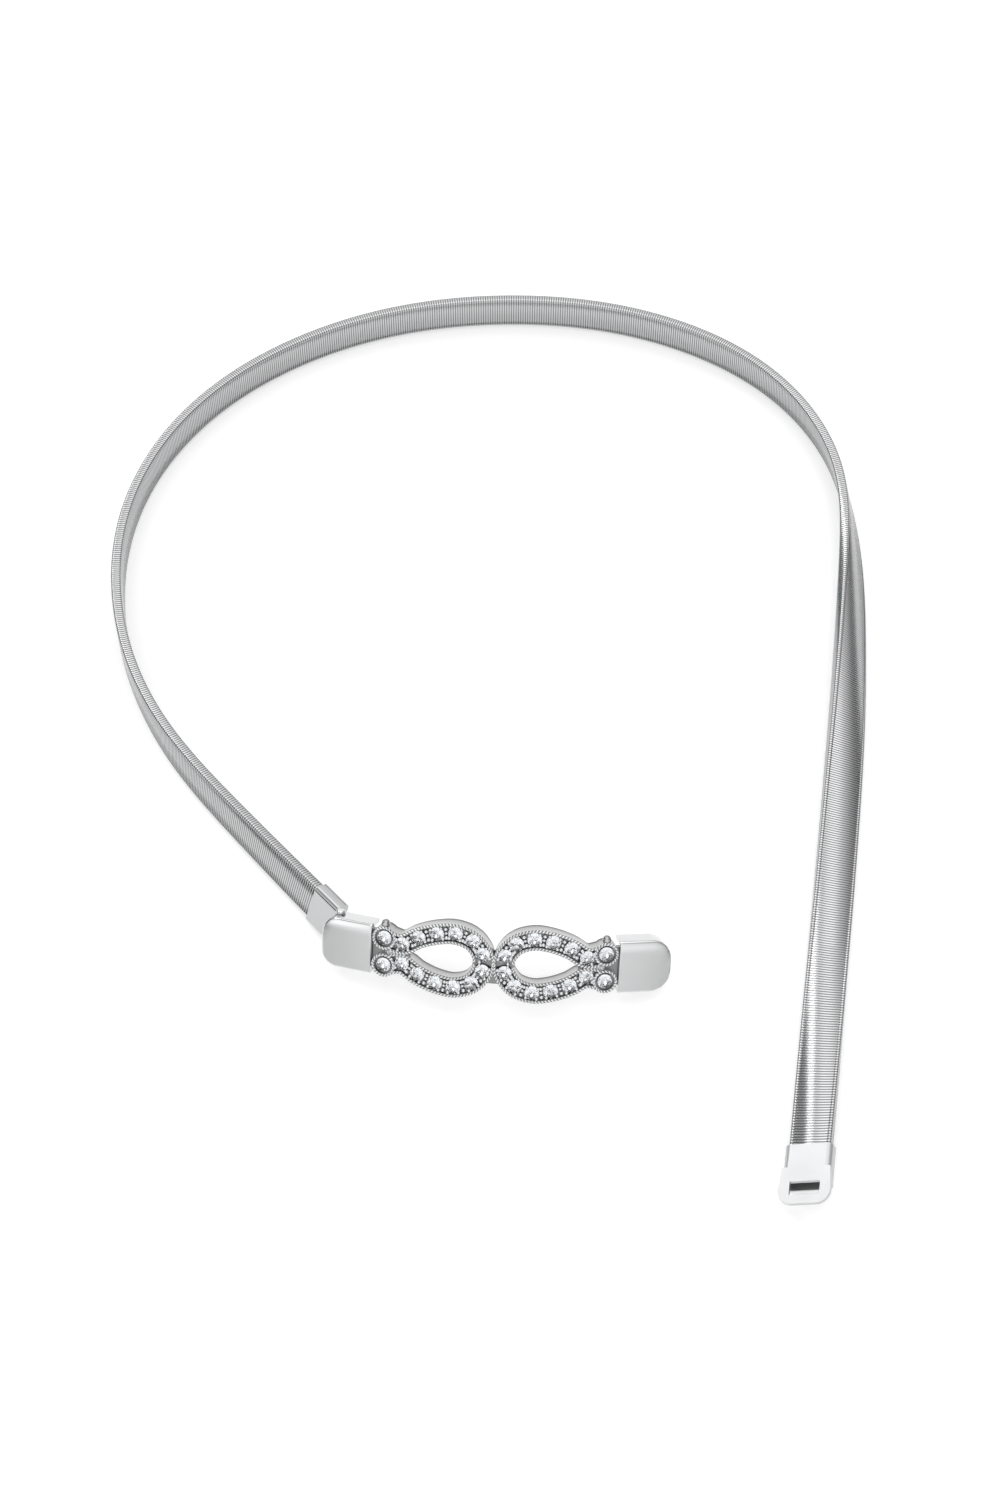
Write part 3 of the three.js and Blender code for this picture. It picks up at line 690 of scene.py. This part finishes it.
def paint_recess_shade(mesh):
    """Painted shade: dark metal on the channel's floor, in the seats, under the rope work and on
    the back.
    """
    mesh.materials.append(metal("cast_recess", recess_shade_finish, RECESS_SHADE_TONE))
    # The depth share drives the painted shade on the walls.
    share = mesh.attributes.new("depth", "FLOAT", "POINT").data
    for item, point in zip(share, mesh.vertices):
        item.value = -off_buckle(point.co).z / CASTING_DEPTH
    for face in mesh.polygons:
        depth = off_buckle(face.center).z
        ahead = off_buckle(face.center + face.normal * MM).z - depth
        floor = ahead > 0.3 * MM and CHANNEL[0] < depth < CHANNEL[1]
        rim_top = ahead > 0.9 * MM and depth > -0.1 * MM
        seat = ahead > -0.1 * MM and SEAT[0] < depth < SEAT[1] and inner(face.center)
        # These faces get the painted shade.
        if floor or rim_top or seat or depth < SHADE_BACK_DEPTH:
            face.material_index = 1


eased_copy("buckle_loops", "cast_loops", "buckle", CAST_METAL, BACK_EASE, round_back,
           paint_recess_shade)

# The casting's small work, cast in one with it: rims worked as a twisted rope, four prongs on each
# stone of a strand, and small grains that fill the channel between the stones.

ROPE_PITCH, ROPE_SLANT = 0.8 * MM, 0.7
ROPE_TWIST = Vector((0.56, 0.27, 0.36)) * MM
STONE_GRAIN = Vector((0.46, 0.46, 0.46)) * MM
RIM_SAMPLES = 24 * len(STONE_ROW)
PRONG_REACH, PRONG_SINK = 1.86 * MM, 0.12 * MM
PAIR_REACH, PAIR_SINK, PAIR_SIZE = 1.1 * MM, 0.3 * MM, 1.15
MIDDLE_SINK = 0.5 * MM
GRAIN_FACETS, GRAIN_RINGS = 8, 5
ROPE_METAL = metal("rope_metal", cast_finish, (0.74, 0.745, 0.75))


def round_spot(middle, angle, radius):
    return middle + Vector((math.cos(angle), math.sin(angle))) * radius


def rim_places(offset):
    """Evenly spaced places along one rim of a strand, with the direction of the rim there."""
    last, line = len(STONE_ROW), []
    for k in range(RIM_SAMPLES + 1):
        place = last * k / RIM_SAMPLES
        here, ahead = strand_point(place), strand_point(min(place + 0.01, last))
        if ahead == here:
            ahead = here + Vector((0, -1))
        along = (ahead - here).normalized()
        line.append((here + Vector((-along.y, along.x)) * offset, along))
    places, run, wait = [], 0.0, 0.0
    for (p, d), (q, _) in zip(line, line[1:]):
        length = (q - p).length
        while wait <= run + length:
            share = (wait - run) / length if length else 0
            places.append((p.lerp(q, share), math.atan2(d.y, d.x)))
            wait += ROPE_PITCH
        run += length
    return places


def quarter_grains():
    """Place, spin, size and sink of every twist and grain on one quarter of the buckle."""
    grains = []
    boss = Vector((LOOP_REACH, STONE_ROW[0][1] * LOOP_RISE))
    for side in (-1, 1):
        for place, course in rim_places(side * (STRAND_WIDTH - RIM_WIDTH) / 2):
            if (place - boss).length > BOSS_RADIUS + 0.1 * MM and place.y > -0.1 * MM:
                grains.append((place, course + ROPE_SLANT, ROPE_TWIST, 0))
    ring = BOSS_RADIUS - RIM_WIDTH / 2
    twists = round(2 * math.pi * ring / ROPE_PITCH)
    for k in range(twists):
        angle = 2 * math.pi * k / twists
        spin = angle + math.pi / 2 + ROPE_SLANT
        grains.append((round_spot(boss, angle, ring), spin, ROPE_TWIST, 0))
    for n, (a, b) in enumerate(STONE_ROW[1:], 1):
        middle = Vector((a * LOOP_REACH, b * LOOP_RISE))
        course = strand_point(n + 0.02) - strand_point(n - 0.02)
        start = math.atan2(course.y, course.x)
        for prong in range(4):
            angle = start + math.pi / 4 + prong * math.pi / 2
            grains.append((round_spot(middle, angle, PRONG_REACH), angle, STONE_GRAIN, PRONG_SINK))
        between, ahead = strand_point(n - 0.5), strand_point(n - 0.45)
        across = Vector((between.y - ahead.y, ahead.x - between.x)).normalized()
        for side in (-1, 1):
            spot = between + across * side * PAIR_REACH
            grains.append((spot, start, STONE_GRAIN * PAIR_SIZE, PAIR_SINK))
        grains.append((between, start, STONE_GRAIN, MIDDLE_SINK))
    return grains


def facing(along, spin):
    """The turn of something that lies on the buckle's front at a place along it."""
    lie = Matrix.Rotation(along / BUCKLE_BOW, 3, "Z") @ Matrix.Rotation(math.pi / 2, 3, "X")
    return (buckle_turn() @ lie @ Matrix.Rotation(spin, 3, "Z")).to_euler()


def grain_tree():
    """Sets one small ball on every point, turned and sized by the point's own attributes."""
    tree, given = node_tree("rope_grains", {
        "Grain facets": "NodeSocketInt", "Grain rings": "NodeSocketInt",
    })
    ball = add(tree, "GeometryNodeMeshUVSphere", inputs={
        "Radius": 1.0, "Segments": given["Grain facets"], "Rings": given["Grain rings"],
    })
    turn = add(tree, "FunctionNodeEulerToRotation", inputs={0: named_vector(tree, "turn")})
    balls = add(tree, "GeometryNodeInstanceOnPoints", inputs={
        "Points": given["Geometry"], "Instance": ball, "Rotation": turn,
        "Scale": named_vector(tree, "size"),
    })
    balls = add(tree, "GeometryNodeRealizeInstances", inputs={"Geometry": balls})
    balls = add(tree, "GeometryNodeSetShadeSmooth", inputs={0: balls})
    close_tree(tree, balls, ROPE_METAL)
    return tree


def rope_work():
    points, turns, sizes = [], [], []
    for side in (-1, 1):
        for up in (-1, 1):
            for place, spin, size, sink in quarter_grains():
                along = side * place.x
                points.append(on_buckle(along, up * place.y, -sink))
                turns.append(Vector(facing(along, spin * side * up)))
                sizes.append(size)
    work = point_object("rope_work", points, {"turn": turns, "size": sizes}, joined=False)
    grow(work, grain_tree(), {"Grain facets": GRAIN_FACETS, "Grain rings": GRAIN_RINGS})
    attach(work, "buckle")


rope_work()

# The stones: twenty-eight round cut crystals with a foil back, each sunk in its own seat with its
# table towards the viewer. They have a flat table, two rows of crown facets and a pointed back.

STONE_RADIUS, GIRDLE, PROUD = 1.78 * MM, 0.1 * MM, 0.35 * MM
CROWN, PAVILION = 0.62 * MM, 1.25 * MM
STONE_RINGS = [  # corners, turn in corners, radius, height over the girdle's front
    (8, 0.5, STONE_RADIUS * 0.5, CROWN),
    (8, 0.0, STONE_RADIUS * 0.82, CROWN * 0.55),
    (16, 0.25, STONE_RADIUS, 0.0),
    (16, 0.25, STONE_RADIUS, -GIRDLE),
    (8, 0.0, STONE_RADIUS * 0.45, -GIRDLE - PAVILION * 0.6),
    (1, 0.0, 0.0, -GIRDLE - PAVILION),
]
STONE_SPIN = 0.3


def crystal():
    """Clear cut glass."""
    material = bpy.data.materials.new("cut_crystal")
    material.use_nodes = True
    shader = material.node_tree.nodes["Principled BSDF"]
    shader.inputs["Base Color"].default_value = (0.98, 0.99, 1.0, 1)
    shader.inputs["Roughness"].default_value = 0.0
    shader.inputs["IOR"].default_value = 1.7
    shader.inputs["Transmission Weight"].default_value = 1.0
    return material


def foil_finish(tree, shader):
    shader.inputs["Roughness"].default_value = 0.05


def cut_stone():
    """One brilliant, x and y across and z to the front: its corners and its facets."""
    form = bmesh.new()
    for count, shift, radius, height in STONE_RINGS:
        for k in range(count):
            angle = 2 * math.pi * (k + shift) / count
            form.verts.new((radius * math.cos(angle), radius * math.sin(angle), height))
    bmesh.ops.convex_hull(form, input=form.verts)
    bmesh.ops.dissolve_limit(form, angle_limit=math.radians(1), verts=form.verts, edges=form.edges)
    form.verts.index_update()
    facets = [[point.index for point in face.verts] for face in form.faces]
    corners = [point.co.copy() for point in form.verts]
    form.free()
    return corners, facets


def set_stones():
    cut_corners, cut_facets = cut_stone()
    corners, facets = [], []
    for side in (-1, 1):
        for up in (-1, 1):
            for k, (a, b) in enumerate(STONE_ROW):
                along = side * a * LOOP_REACH
                middle = on_buckle(along, up * b * LOOP_RISE, PROUD - CROWN)
                turn = facing(along, STONE_SPIN * k).to_matrix()
                start = len(corners)
                corners += [middle + turn @ corner for corner in cut_corners]
                facets += [[start + n for n in facet] for facet in cut_facets]
    mesh = bpy.data.meshes.new("cut_stones")
    mesh.from_pydata(corners, [], facets)
    mesh.materials.append(crystal())
    mesh.materials.append(metal("stone_foil", foil_finish, (0.93, 0.94, 0.95)))
    for face in mesh.polygons:
        ahead = off_buckle(face.center + face.normal * MM).z - off_buckle(face.center).z
        face.material_index = 1 if ahead < -0.2 * MM else 0
    stones = new_piece("cut_stones", mesh)
    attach(stones, "buckle")
    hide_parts(*[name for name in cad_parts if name.startswith("stone_")])


set_stones()

# The camera stands at the near side of the table and looks steeply down at the belt, a little to
# the right of its middle.

CAMERA_LENS, CAMERA_FILM = 56.4, 36
CAMERA_TILT = math.radians(53.5)
CAMERA_DISTANCE = 610 * MM
CAMERA_AIM = Vector((2.92, -14.17, 0)) * MM


def camera():
    data = bpy.data.cameras.new("camera")
    data.lens, data.sensor_width = CAMERA_LENS, CAMERA_FILM
    eye = bpy.data.objects.new("camera", data)
    back = Vector((0, -math.cos(CAMERA_TILT), math.sin(CAMERA_TILT)))
    eye.location = CAMERA_AIM + back * CAMERA_DISTANCE
    eye.rotation_euler = (math.pi / 2 - CAMERA_TILT, 0, 0)
    bpy.context.scene.collection.objects.link(eye)
    bpy.context.scene.camera = eye


camera()
bpy.context.view_layer.update()
